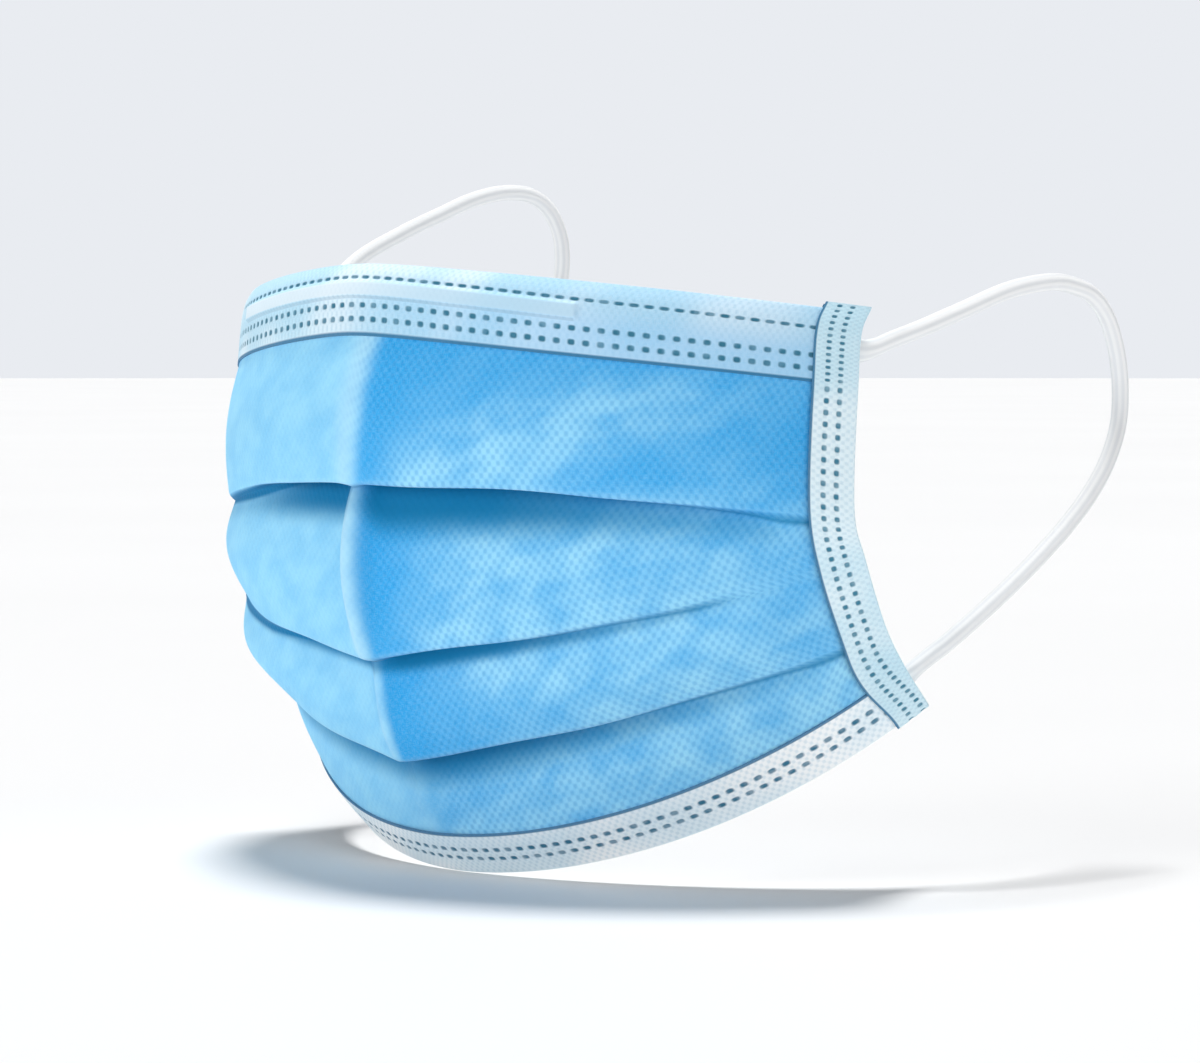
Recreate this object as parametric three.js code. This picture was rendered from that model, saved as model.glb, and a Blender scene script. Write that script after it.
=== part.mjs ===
// A pleated disposable face mask with two ear loops, as it stands when worn, in millimetres, +Z up.
// The origin is the nose bridge: the middle of the top edge, on the inner face of the cloth.
// +X points to the wearer's left ear and -Y to the front.
import * as THREE from "three";

// The cloth, measured along it: s runs from -HALF_WIDTH to HALF_WIDTH across the face.
const HALF_WIDTH = 89;
const RIDGE_HEADING = 3; // degrees that each half already turns at the middle
const WALL = 1.0; // thickness of every cloth wall
const GAP = 0.3; // air between neighbouring pieces

// Where the pieces end, as distances s along the cloth.
const TAPE_WIDTH = 8;
const TAPE_START = HALF_WIDTH - TAPE_WIDTH;
const BAND_END = TAPE_START - GAP;
const PANEL_END = HALF_WIDTH - WALL - 2 * GAP;
const FOLD_IN = WALL + GAP; // how far the panel stays inside the folded top and bottom edges

// The nose wire and the step of the top band over it.
const WIRE_HALF_LENGTH = 42;
const WIRE_THICKNESS = 0.7;
const WIRE_STEP = 1.1;
const WIRE_BELOW_CROWN = 1.5;
const WIRE_STEP_END = WIRE_HALF_LENGTH + GAP;
const WIRE_STEP_GONE = WIRE_STEP_END + 1.7;

// Offsets from the middle surface of the cloth, positive to the front.
const PANEL_FACE = WALL / 2;
const LEG_INNER = PANEL_FACE + GAP;
const LEG_OUTER = LEG_INNER + WALL;
const CHAMFER = 0.7;

// The ear loops.
const CORD_DIAMETER = 3;
const CORD_SIDES = 8;
const CORD_STEPS = 36;

// Lines that cross the mask from side to side. midY and midZ: where the line crosses the middle.
// sideZ: height of its two ends. turn: heading of the cloth at its ends, in degrees.
// vee: share of its rise that is straight, the rest is a parabola. round: share of the half width
// over which the tip of that V is rounded. crease: ridge height at the middle.
// flank: how far the cloth is blown out between the ridge and the side, less on the wearer's left.
// droop: how much lower the flank on the wearer's right hangs.
const ROW_COLUMNS = ["midY", "midZ", "sideZ", "turn", "vee", "round", "crease", "flank", "droop"];
const ROW_TABLE = {
  topEdge: [-0.5, 0, -8, 62.3, 0.8, 0.1, 0, 0, 0],
  crown: [-3.5, -2.1, -11.2, 62.3, 0.8, 0.1, 0, 0, 0],
  hem: [-5, -12, -20.4, 61.3, 0.9, 0.1, 0, 0, 0],
  lip1: [-6.8, -36.5, -41.9, 59.4, 0, 0.1, 0, 0.3, 1.2],
  lip2: [-1.1, -66, -47.5, 56.4, 0.6, 0.02, 2, 0.6, 3],
  lip3: [6.4, -83.8, -60, 59.4, 0.6, 0.02, 1.6, 1.8, 2.6],
  bottomHem: [13.8, -96.2, -66.4, 58.4, 0, 0.1, 0, 0.6, 0.6],
  bottomEdge: [19.9, -103.1, -72.9, 60.4, 0, 0.1, 0, 0, 0],
};
const ROWS = Object.fromEntries(
  Object.entries(ROW_TABLE).map(([name, values]) => [
    name,
    Object.fromEntries(ROW_COLUMNS.map((column, place) => [column, values[place]])),
  ]),
);
const CREASE_WIDTH = 7;
const LEFT_FULLNESS = 0.4; // share of the flank's fullness that the wearer's left has

// The three pleats, each under its lip. open: depth of the fold in the flanks. side: depth towards
// the side tape. prow: share of the depth that is missing at the middle, over PROW_WIDTH. closing:
// distance from the ridge at which the pleat has closed on the wearer's right.
const PLEATS = {
  pleat1: { lip: "lip1", open: 5.0, side: 1.1, prow: 0.8, closing: 54 },
  pleat2: { lip: "lip2", open: 3.5, side: 0, prow: 0.3, closing: 60 },
  pleat3: { lip: "lip3", open: 4.0, side: 1.1, prow: 0.2, closing: 84 },
};
const PROW_WIDTH = 6.5;
const PLEAT_FADE = { from: 74, to: 80 };
// The root of a pleat lies below its lip where the fold is shallow and above it where it is deep.
const UNDERCUT = { shallow: -1.2, deep: 1.6, slope: 0.7 };

// How far below its lip, as a share of the way to the next row, a root lies in the flat sides.
const ROOT_LEVEL = 0.12;
// Shares of the half width between which the pleats turn into the smooth, flat sides.
const SETTLE = { from: 0.78, to: 0.92 };

// The spans of cloth that end at a pleat or hem: number of steps, how far they bulge out at the ridge
// (bulge) and in the flanks (flank), and how low the bulge hangs (sag: 1 is in the middle of the span).
const SPANS = {
  toPleat1: { steps: 5, bulge: 1.5, flank: 0.5, sag: 1 },
  toPleat2: { steps: 7, bulge: 2.4, flank: 1.6, sag: 1 },
  toPleat3: { steps: 6, bulge: 1.0, flank: 3.2, sag: 1.4 },
  toBottomHem: { steps: 4, bulge: 0.8, flank: 0.5, sag: 1 },
};

// Widths along the cloth from which the inner lines of the two bands are placed.
const NOSE_STRIP = 3.4;
const TOP_BAND_BELOW_CROWN = 9.5;
const BOTTOM_BAND = 9.4;
const WIRE_WIDTH = 3.0;

// Columns of the grid on one half of the cloth, closer together at the ridge and at the wire's end.
const RIDGE_COLUMNS = [2, 4.5, 8, 12, 17, 22, 27, 32, 37];
const WIRE_COLUMNS = [WIRE_STEP_END, WIRE_STEP_GONE];
const FLANK_COLUMNS = [49, 54, 59, 64, 69, 73, 77];

// The routes of the loops' centre lines, from the upper weld round the ear to the lower weld.
const LEFT_EAR_ROUTE = [
  [65.3, 38.1, -13.9], [66.9, 40.7, -14.2], [68.7, 43.9, -14.3], [71.0, 48.2, -13.0],
  [73.6, 54.0, -10.8], [75.4, 62.5, -7.8], [76.3, 73.5, -4.4], [76.0, 84.7, -2.9],
  [74.8, 92.9, -3.3], [73.0, 100.8, -4.9], [71.0, 107.8, -8.8], [69.4, 112.6, -14.4],
  [68.5, 115.0, -20.8], [68.9, 113.9, -27.5], [70.4, 108.8, -33.8], [72.2, 101.5, -39.3],
  [73.4, 93.0, -44.8], [73.6, 84.5, -50.2], [73.0, 76.5, -55.4], [71.4, 69.0, -60.6],
  [69.0, 64.2, -64.6], [66.1, 60.1, -67.5], [64.0, 56.9, -70.2], [62.5, 54.7, -72.1],
];
const RIGHT_EAR_ROUTE = [
  [-65.3, 38.1, -13.9], [-66.9, 40.7, -14.0], [-68.8, 43.8, -13.0], [-71.0, 48.0, -9.6],
  [-72.8, 54.5, -4.2], [-73.7, 64.4, 2.9], [-73.0, 75.4, 8.1], [-71.6, 83.9, 11.7],
  [-69.9, 91.1, 14.7], [-67.9, 97.6, 16.2], [-66.0, 103.3, 15.7], [-64.5, 107.2, 12.4],
  [-63.6, 109.2, 6.5], [-63.7, 109.0, -1.0], [-64.6, 106.0, -9.5], [-66.2, 101.0, -18.5],
  [-68.0, 94.8, -27.0], [-69.8, 87.5, -35.6], [-71.0, 80.0, -44.2], [-70.8, 72.6, -52.8],
  [-68.9, 65.8, -60.8], [-66.2, 60.6, -67.0], [-64.0, 56.9, -70.2], [-62.5, 54.7, -72.1],
];

const clamp = THREE.MathUtils.clamp;
const bell = (t) => (1 - t * t) ** 2; // 1 at the ridge, 0 at the sides
const flankShape = (t) => Math.sin(Math.PI * Math.min(1, t) ** 2); // 0 at the ridge and the sides
const fullness = (s) => (s < 0 ? 1 : LEFT_FULLNESS) * flankShape(Math.abs(s) / HALF_WIDTH);

// Heading of the cloth seen from above, in radians, at a share t of the half width.
function headingAt(row, t) {
  return THREE.MathUtils.degToRad(RIDGE_HEADING + (row.turn - RIDGE_HEADING) * t);
}

// Horizontal direction out of the cloth.
function outwardAt(row, s) {
  const heading = headingAt(row, Math.abs(s) / HALF_WIDTH);
  return new THREE.Vector3(Math.sign(s) * Math.sin(heading), -Math.cos(heading), 0);
}

// A point of a line: an arc seen from above, whose length keeps the cloth's width, with a rise.
function rowPoint(row, s) {
  const t = Math.abs(s) / HALF_WIDTH;
  const rise = row.sideZ - row.midZ;
  const planLength = Math.sqrt(HALF_WIDTH ** 2 - rise ** 2);
  const start = headingAt(row, 0);
  const heading = headingAt(row, t);
  const radius = planLength / (headingAt(row, 1) - start);
  const straight = (Math.hypot(t, row.round) - row.round) / (Math.hypot(1, row.round) - row.round);
  const point = new THREE.Vector3(
    Math.sign(s) * radius * (Math.sin(heading) - Math.sin(start)),
    row.midY + radius * (Math.cos(start) - Math.cos(heading)),
    row.midZ + rise * (row.vee * straight + (1 - row.vee) * t * t),
  );
  if (s < 0) {
    point.z -= row.droop * flankShape(t);
  }
  const crease = row.crease * (Math.exp(-Math.abs(s) / CREASE_WIDTH) - bell(t) / 2);
  return point.addScaledVector(outwardAt(row, s), crease + row.flank * fullness(s));
}

function pleatDepth(pleat, s) {
  const t = Math.min(1, Math.abs(s) / (s < 0 ? pleat.closing : HALF_WIDTH));
  const prow = 1 - pleat.prow * Math.exp(-Math.abs(s) / PROW_WIDTH);
  const depth = pleat.side + (pleat.open - pleat.side) * bell(t) * prow;
  return depth * (1 - THREE.MathUtils.smoothstep(Math.abs(s), PLEAT_FADE.from, PLEAT_FADE.to));
}

// The root of a pleat, behind its lip, where the cloth turns down again.
function rootPoint(pleat, s) {
  const depth = pleatDepth(pleat, s);
  const row = ROWS[pleat.lip];
  const lift = clamp(UNDERCUT.shallow + UNDERCUT.slope * (depth - 1), UNDERCUT.shallow, UNDERCUT.deep);
  const point = rowPoint(row, s).addScaledVector(outwardAt(row, s), -depth);
  point.z += lift;
  return point;
}

// The smooth curve down the cloth at s, through all the rows. level is a row's number or between two.
const rowList = Object.values(ROWS);
const rowNumber = (name) => Object.keys(ROWS).indexOf(name);

function smoothPoint(level, s) {
  const curve = new THREE.CatmullRomCurve3(rowList.map((row) => rowPoint(row, s)), false, "centripetal");
  return curve.getPoint(level / (rowList.length - 1));
}

// Towards the side tapes the pleats are pressed flat, and every line runs into the smooth curve.
function settled(point, level, s) {
  const share = THREE.MathUtils.smoothstep(Math.abs(s) / HALF_WIDTH, SETTLE.from, SETTLE.to);
  return point.lerp(smoothPoint(level, s), share);
}

const rowLine = (name) => (s) => rowPoint(ROWS[name], s);

function rootLine(name) {
  const level = rowNumber(PLEATS[name].lip) + ROOT_LEVEL;
  return (s) => settled(rootPoint(PLEATS[name], s), level, s);
}

// All lines of the cloth from the top edge to the bottom edge, with the places of the named ones.
const lines = [];
const place = {};

function addLine(name, line) {
  if (name) {
    place[name] = lines.length;
  }
  lines.push(line);
}

// The lines of a span from an upper line down to a row. They bulge out as one arc in the middle.
function addSpan(upper, upperLevel, lowerName, span) {
  const row = ROWS[lowerName];
  const lowerLevel = rowNumber(lowerName);
  for (let step = 1; step < span.steps; step += 1) {
    const tau = step / span.steps;
    addLine(null, (s) => {
      const t = Math.min(1, Math.abs(s) / HALF_WIDTH);
      const arc = Math.sin(Math.PI * tau ** span.sag);
      const push = arc * (span.bulge * (1 - t * t) + span.flank * fullness(s));
      const point = upper(s).lerp(rowPoint(row, s), tau).addScaledVector(outwardAt(row, s), push);
      return settled(point, upperLevel + (lowerLevel - upperLevel) * tau, s);
    });
  }
  addLine(lowerName, rowLine(lowerName));
}

// A pleat: its root, and the span from there down to the next row.
function addPleat(name, lowerName, span) {
  addLine(name, rootLine(name));
  addSpan(rootLine(name), rowNumber(PLEATS[name].lip) + ROOT_LEVEL, lowerName, span);
}

// A line of a band, at a distance from the row number upper towards the next one, width away.
const inBand = (upper, distance, width) => (s) => smoothPoint(upper + distance / width, s);
const inNoseStrip = (distance) => inBand(rowNumber("topEdge"), distance, NOSE_STRIP);
const inTopBand = (distance) => inBand(rowNumber("crown"), distance, TOP_BAND_BELOW_CROWN);
const inBottomBand = (distance) => inBand(rowNumber("bottomHem"), distance, BOTTOM_BAND);

addLine("topEdge", rowLine("topEdge"));
addLine("topFold", inNoseStrip(WALL));
addLine("panelTop", inNoseStrip(FOLD_IN));
addLine("crown", rowLine("crown"));
addLine("wireTop", inTopBand(WIRE_BELOW_CROWN));
addLine("wireBottom", inTopBand(WIRE_BELOW_CROWN + WIRE_WIDTH));
addLine("wireFoot", inTopBand(WIRE_BELOW_CROWN + WIRE_WIDTH + WIRE_STEP));
addLine("hem", rowLine("hem"));
addSpan(rowLine("hem"), rowNumber("hem"), "lip1", SPANS.toPleat1);
addPleat("pleat1", "lip2", SPANS.toPleat2);
addPleat("pleat2", "lip3", SPANS.toPleat3);
addPleat("pleat3", "bottomHem", SPANS.toBottomHem);
addLine("bottomMiddle", inBottomBand(BOTTOM_BAND / 2));
addLine("panelBottom", inBottomBand(BOTTOM_BAND - FOLD_IN));
addLine("bottomFold", inBottomBand(BOTTOM_BAND - WALL));
addLine("bottomEdge", rowLine("bottomEdge"));

// The point of a line at s, moved off the middle surface. The offset follows the mean of the two
// normals that meet in the line and is lengthened there, so that a wall keeps its thickness.
function station(index, s, offset) {
  const here = lines[index](s);
  const along = lines[index](s + 0.5).sub(lines[index](s - 0.5));
  const normals = [];
  if (index > 0) {
    normals.push(here.clone().sub(lines[index - 1](s)).cross(along).normalize());
  }
  if (index < lines.length - 1) {
    normals.push(lines[index + 1](s).sub(here).cross(along).normalize());
  }
  const mean = new THREE.Vector3();
  normals.forEach((normal) => mean.add(normal));
  mean.normalize();
  const mitre = 1 / Math.max(0.6, mean.dot(normals[0]));
  return here.addScaledVector(mean, offset * mitre);
}

// Six times the signed volume of a closed mesh, negative when its faces point inwards.
function signedVolume(points, faces) {
  let total = 0;
  for (const [a, b, c] of faces) {
    total += points[a].dot(points[b].clone().cross(points[c]));
  }
  return total;
}

// A closed wall between two grids of points of the same size, joined along their four borders.
function wall(front, back) {
  const rows = front.length;
  const columns = front[0].length;
  const points = [...front.flat(), ...back.flat()];
  const layer = rows * columns;
  const faces = [];
  const quad = (a, b, c, d) => faces.push([a, b, c], [a, c, d]);
  const at = (row, column) => row * columns + column;
  for (let row = 0; row < rows - 1; row += 1) {
    for (let column = 0; column < columns - 1; column += 1) {
      const corners = [at(row, column), at(row + 1, column), at(row + 1, column + 1), at(row, column + 1)];
      const [a, b, c, d] = corners;
      quad(a, b, c, d);
      quad(layer + d, layer + c, layer + b, layer + a);
    }
  }
  const border = (a, b) => quad(b, a, layer + a, layer + b);
  for (let row = 0; row < rows - 1; row += 1) {
    border(at(row, 0), at(row + 1, 0));
    border(at(row + 1, columns - 1), at(row, columns - 1));
  }
  for (let column = 0; column < columns - 1; column += 1) {
    border(at(rows - 1, column), at(rows - 1, column + 1));
    border(at(0, column + 1), at(0, column));
  }
  const outward = signedVolume(points, faces) > 0;
  const geometry = new THREE.BufferGeometry().setFromPoints(points);
  geometry.setIndex(faces.flatMap(([a, b, c]) => (outward ? [a, b, c] : [a, c, b])));
  geometry.computeVertexNormals();
  return geometry;
}

// Both halves of a list of columns, with the ridge between them.
function bothSides(half) {
  return [...half.map((s) => -s).reverse(), 0, ...half];
}

// The grid of a piece whose profile is a list of [line, offset], carried along the columns.
function acrossGrid(profile, columns) {
  return profile.map(([name, offset]) => columns.map((s) => {
    const value = typeof offset === "function" ? offset(s) : offset;
    return station(place[name], s, value);
  }));
}

// The grid of a piece whose profile is a list of [s, offset], carried down all the lines.
function downGrid(profile, side) {
  return lines.map((_, index) => profile.map(([s, offset]) => station(index, side * s, offset)));
}

const bandColumns = bothSides([...RIDGE_COLUMNS, ...WIRE_COLUMNS, ...FLANK_COLUMNS, BAND_END]);
const panelColumns = bothSides(
  [...RIDGE_COLUMNS, ...WIRE_COLUMNS, ...FLANK_COLUMNS, BAND_END, (BAND_END + PANEL_END) / 2, PANEL_END],
);
const wireColumns = bothSides([...RIDGE_COLUMNS, WIRE_HALF_LENGTH]);

function panelGeometry() {
  const indices = lines.map((_, index) => index).slice(place.panelTop, place.panelBottom + 1);
  const face = (offset) => indices.map((index) => panelColumns.map((s) => station(index, s, offset)));
  return wall(face(PANEL_FACE), face(-PANEL_FACE));
}

// The top band lies on the panel, steps over the nose wire and turns over the top edge.
function topBandGeometry() {
  const step = (s) => {
    const share = (WIRE_STEP_GONE - Math.abs(s)) / (WIRE_STEP_GONE - WIRE_STEP_END);
    return WIRE_STEP * clamp(share, 0, 1);
  };
  const overWire = (leg) => (s) => leg + step(s);
  const outer = [
    ["topEdge", -PANEL_FACE], ["topEdge", LEG_OUTER - CHAMFER], ["topFold", LEG_OUTER],
    ["crown", LEG_OUTER], ["wireTop", overWire(LEG_OUTER)], ["wireBottom", overWire(LEG_OUTER)],
    ["wireFoot", LEG_OUTER], ["hem", LEG_OUTER],
  ];
  const inner = [
    ["topFold", -PANEL_FACE], ["topFold", LEG_INNER], ["panelTop", LEG_INNER],
    ["crown", LEG_INNER], ["wireTop", overWire(LEG_INNER)], ["wireBottom", overWire(LEG_INNER)],
    ["wireFoot", LEG_INNER], ["hem", LEG_INNER],
  ];
  return wall(acrossGrid(outer, bandColumns), acrossGrid(inner, bandColumns));
}

// The bottom band lies on the panel and turns under the bottom edge.
function bottomBandGeometry() {
  const outer = [
    ["bottomHem", LEG_OUTER], ["bottomMiddle", LEG_OUTER], ["bottomFold", LEG_OUTER],
    ["bottomEdge", LEG_OUTER - CHAMFER], ["bottomEdge", -PANEL_FACE],
  ];
  const inner = [
    ["bottomHem", LEG_INNER], ["bottomMiddle", LEG_INNER], ["panelBottom", LEG_INNER],
    ["bottomFold", LEG_INNER], ["bottomFold", -PANEL_FACE],
  ];
  return wall(acrossGrid(outer, bandColumns), acrossGrid(inner, bandColumns));
}

// A side tape is folded round the side edge, with a leg on the front and one on the back.
function sideTapeGeometry(side) {
  const outerFold = HALF_WIDTH - WALL;
  const innerFold = outerFold + GAP / 3;
  const innerTurn = innerFold - 0.5;
  const outer = [
    [TAPE_START, LEG_OUTER], [outerFold, LEG_OUTER], [HALF_WIDTH, LEG_OUTER / 2],
    [HALF_WIDTH, -LEG_OUTER / 2], [outerFold, -LEG_OUTER], [TAPE_START, -LEG_OUTER],
  ];
  const inner = [
    [TAPE_START, LEG_INNER], [innerTurn, LEG_INNER], [innerFold, LEG_INNER / 2],
    [innerFold, -LEG_INNER / 2], [innerTurn, -LEG_INNER], [TAPE_START, -LEG_INNER],
  ];
  return wall(downGrid(outer, side), downGrid(inner, side));
}

// The flat wire that is sealed between the panel and the top band.
function noseWireGeometry() {
  const face = (offset) => [["wireTop", offset], ["wireBottom", offset]];
  const front = acrossGrid(face(LEG_INNER + WIRE_THICKNESS), wireColumns);
  const back = acrossGrid(face(LEG_INNER), wireColumns);
  return wall(front, back);
}

function loopGeometry(route) {
  const path = new THREE.CatmullRomCurve3(route.map((point) => new THREE.Vector3(...point)));
  const section = new THREE.Shape();
  for (let corner = 0; corner < CORD_SIDES; corner += 1) {
    const angle = (2 * Math.PI * corner) / CORD_SIDES;
    const x = (CORD_DIAMETER / 2) * Math.cos(angle);
    const y = (CORD_DIAMETER / 2) * Math.sin(angle);
    if (corner === 0) {
      section.moveTo(x, y);
    } else {
      section.lineTo(x, y);
    }
  }
  section.closePath();
  return new THREE.ExtrudeGeometry(section, { steps: CORD_STEPS, extrudePath: path, bevelEnabled: false });
}

const finishes = {
  blueCloth: { color: 0x63b4ee, roughness: 0.85, metalness: 0 },
  paleBand: { color: 0xcfe8f4, roughness: 0.8, metalness: 0 },
  wire: { color: 0xc9ccd0, roughness: 0.4, metalness: 1 },
  elastic: { color: 0xe9ebed, roughness: 0.9, metalness: 0 },
};

const mask = new THREE.Group();
mask.name = "face_mask";

function addPiece(name, geometry, finish) {
  const piece = new THREE.Mesh(geometry, new THREE.MeshStandardMaterial(finishes[finish]));
  piece.name = name;
  mask.add(piece);
}

addPiece("mask_panel", panelGeometry(), "blueCloth");
addPiece("top_band", topBandGeometry(), "paleBand");
addPiece("bottom_band", bottomBandGeometry(), "paleBand");
addPiece("side_tape_left", sideTapeGeometry(1), "paleBand");
addPiece("side_tape_right", sideTapeGeometry(-1), "paleBand");
addPiece("nose_wire", noseWireGeometry(), "wire");
addPiece("ear_loop_left", loopGeometry(LEFT_EAR_ROUTE), "elastic");
addPiece("ear_loop_right", loopGeometry(RIGHT_EAR_ROUTE), "elastic");

export default mask;
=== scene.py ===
"""A pleated disposable face mask with two ear loops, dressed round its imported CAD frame.

Shapes are numpy surfaces in millimetres, in the part's own frame: +X to the wearer's left ear, -Y to
the front, +Z up, origin on the nose bridge. The cloth is a family of columns s (distance along the
cloth from the ridge, -89 to 89) and of lines that run from side to side. A piece is a wall between two
grids of such points, scaled to metres when it becomes a mesh.
"""

import math

import bpy
import numpy as np
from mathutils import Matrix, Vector


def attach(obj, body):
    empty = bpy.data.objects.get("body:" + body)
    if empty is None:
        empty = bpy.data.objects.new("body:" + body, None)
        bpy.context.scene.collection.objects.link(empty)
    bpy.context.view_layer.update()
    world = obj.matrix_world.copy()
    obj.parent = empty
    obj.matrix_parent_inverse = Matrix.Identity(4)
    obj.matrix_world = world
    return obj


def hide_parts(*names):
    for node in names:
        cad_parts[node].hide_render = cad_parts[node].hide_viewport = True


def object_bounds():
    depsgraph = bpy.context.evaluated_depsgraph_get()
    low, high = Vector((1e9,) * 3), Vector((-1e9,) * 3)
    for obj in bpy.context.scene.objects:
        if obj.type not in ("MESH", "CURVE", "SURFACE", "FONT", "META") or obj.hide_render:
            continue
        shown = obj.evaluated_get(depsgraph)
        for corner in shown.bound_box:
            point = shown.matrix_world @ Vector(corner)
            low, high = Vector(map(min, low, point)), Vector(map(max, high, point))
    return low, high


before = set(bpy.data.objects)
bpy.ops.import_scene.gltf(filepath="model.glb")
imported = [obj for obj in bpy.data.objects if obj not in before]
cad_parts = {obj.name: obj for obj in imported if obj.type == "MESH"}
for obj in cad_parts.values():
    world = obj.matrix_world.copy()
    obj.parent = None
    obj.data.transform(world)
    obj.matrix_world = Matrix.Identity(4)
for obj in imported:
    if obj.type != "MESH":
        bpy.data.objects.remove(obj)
cad_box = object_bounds()

MM = 0.001

# ------------------------ camera, floor and lights

AIM = Vector((29.8, 23.4, -44.6)) * MM
CAMERA_AZIMUTH, CAMERA_ELEVATION = 44, 2.5
CAMERA_DISTANCE = 0.700
CAMERA_LENS = 125.9
FLOOR_GAP = 0.02 * MM
HORIZON_TO, OVERHEAD_FROM = 0.12, 0.4  # heights on the sky's unit ball between which it dims
OVERHEAD_STRENGTH = 0.12
FLOOR_RADIUS = 12.0

# Suns: azimuth, elevation and softness in degrees, strength and colour.
SUNS = {
    "key": (-24, 14, 36, 1.12, (1.0, 0.99, 0.98)),
    "fill": (80, 6, 60, 0.98, (1.0, 1.0, 1.0)),
    "top": (224, 80, 14, 2.85, (1.0, 1.0, 1.0)),
    "front": (20, 58, 24, 0.36, (1.0, 1.0, 1.0)),
}


def direction(azimuth, elevation):
    """Unit vector from the mask towards an azimuth (0 is the front) and elevation in degrees."""
    azimuth, elevation = math.radians(azimuth), math.radians(elevation)
    level = math.cos(elevation)
    return Vector((math.sin(azimuth) * level, -math.cos(azimuth) * level, math.sin(elevation)))


def face_aim(thing, towards, distance):
    """Sets a camera or a light in the scene at a distance from the mask, facing it."""
    thing.location = AIM + towards * distance
    thing.rotation_mode = "QUATERNION"
    thing.rotation_quaternion = (-towards).to_track_quat("-Z", "Y")
    bpy.context.collection.objects.link(thing)


def add_camera():
    data = bpy.data.cameras.new("camera")
    data.lens = CAMERA_LENS
    data.clip_start = 0.01
    data.clip_end = 50
    camera = bpy.data.objects.new("camera", data)
    face_aim(camera, direction(CAMERA_AZIMUTH, CAMERA_ELEVATION), CAMERA_DISTANCE)
    bpy.context.scene.camera = camera


def add_sun(name, azimuth, elevation, softness, strength, colour):
    """A sun as wide as softness degrees, so that its shadows have soft edges and the floor is even."""
    data = bpy.data.lights.new(name, "SUN")
    data.energy = strength
    data.angle = math.radians(softness)
    data.color = colour
    light = bpy.data.objects.new(name, data)
    face_aim(light, direction(azimuth, elevation), 1)


# ------------------------ the cloth as a surface

HALF_WIDTH = 89.0
RIDGE_HEADING = 3.0  # degrees
CREASE_WIDTH = 7.0
LEFT_FULLNESS = 0.4  # fullness of the wearer's left flank, as a share of the right one's
PROW_WIDTH = 2.8
ROOT_LEVEL = 0.12  # how far below its lip a pleat's closed root lies, in rows
SETTLE_FROM, SETTLE_TO = 0.78, 0.92  # shares of the half width between which the folds run out
PLEAT_FADE_FROM, PLEAT_FADE_TO = 74.0, 80.0
UNDERCUT_SHALLOW, UNDERCUT_DEEP, UNDERCUT_SLOPE = -1.2, 1.6, 0.7  # lift of a root: least, most, per mm


def table(columns, rows):
    """The rows as dictionaries, with the columns' names as keys."""
    return {name: dict(zip(columns.split(), values)) for name, values in rows.items()}


# Lines from side to side, top to bottom. mid_y, mid_z: where a line crosses the ridge. side_z: height
# of its ends. turn: heading of the cloth at its ends, degrees. vee: straight share of its rise.
# round: share of the half width over which the tip of that V is rounded. crease: ridge height at the
# middle. flank: how far the flanks are blown out, less on the wearer's left. droop: how much lower the
# flank on the wearer's right hangs.
ROWS = table("mid_y mid_z side_z turn vee round crease flank droop", {
    "top_edge": (-2.0, 0.0, -8.0, 62.3, 0.8, 0.10, 0.0, 0.0, 0.0),
    "crown": (-3.9, -2.1, -11.2, 62.3, 0.8, 0.10, 0.0, 0.0, 0.0),
    "hem": (-5.0, -12.0, -20.4, 61.3, 0.9, 0.10, 0.0, 0.0, 0.0),
    "lip1": (-6.0, -36.5, -41.9, 59.4, 0.0, 0.10, 0.0, 0.3, 1.2),
    "lip2": (-1.1, -66.0, -47.5, 56.4, 0.6, 0.02, 2.0, 0.6, 3.0),
    "lip3": (6.4, -83.8, -60.0, 59.4, 0.6, 0.02, 1.6, 1.8, 2.6),
    "bottom_hem": (13.8, -96.2, -66.4, 58.4, 0.0, 0.10, 0.0, 0.6, 0.6),
    "bottom_edge": (19.9, -103.1, -72.9, 60.4, 0.0, 0.10, 0.0, 0.0, 0.0),
})
LEVEL = {name: number for number, name in enumerate(ROWS)}

# Pleats under their lips. open: depth in the flanks. side: depth towards the tapes. prow: share of the
# depth missing at the ridge. closing: where the pleat has closed on the wearer's right. crack: step
# that stays visible as far as the tape. ends: where the painted shade line along it ends on the wearer's
# left. shade: how dark the painted shade in its mouth is. deep, gone: mm below its root to which that
# painted shade is at its darkest, and where it ends. right: how far down both reach on the wearer's
# right, as a share.
PLEATS = table("open side prow closing crack ends shade deep gone right", {
    "lip1": (5.0, 1.1, 0.80, 44, 0.4, 110, 1.0, 4.6, 14.5, 0.80),
    "lip2": (3.5, 0.0, 0.35, 60, 0.0, 72, 0.95, 1.2, 5.0, 0.85),
    "lip3": (4.0, 1.1, 0.20, 84, 0.3, 110, 0.80, 1.4, 9.5, 0.95),
})

# Stretches of cloth that end at a row. bulge, flank: fullness at the ridge and in the flanks. sag: how
# low it hangs. pinch, width: height and half width of the pinched fold down the ridge. crest: strength
# of the painted highlight along that fold, over its width. lee: strength of the painted shade beside it,
# on the side turned from the key light. reach, tail: how far across the wearer's left that goes, at the
# top and at the bottom. lean: mm by which both start further to the wearer's left at the top. steps:
# number of lines.
SPANS = table("bulge flank sag pinch width crest lee reach tail lean steps", {
    "lip1": (1.5, 0.5, 1.0, 0.6, 7.0, 0.70, 1.0, 64, 13, 5, 36),
    "lip2": (2.4, 1.6, 1.0, 1.4, 2.3, 1.00, 1.0, 44, 18, 0, 42),
    "lip3": (1.0, 3.2, 1.4, 0.5, 1.4, 0.45, 1.0, 18, 30, 0, 30),
    "bottom_hem": (0.8, 0.5, 1.0, 0.3, 8.0, 0.10, 0.2, 20, 10, 0, 24),
})
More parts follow.
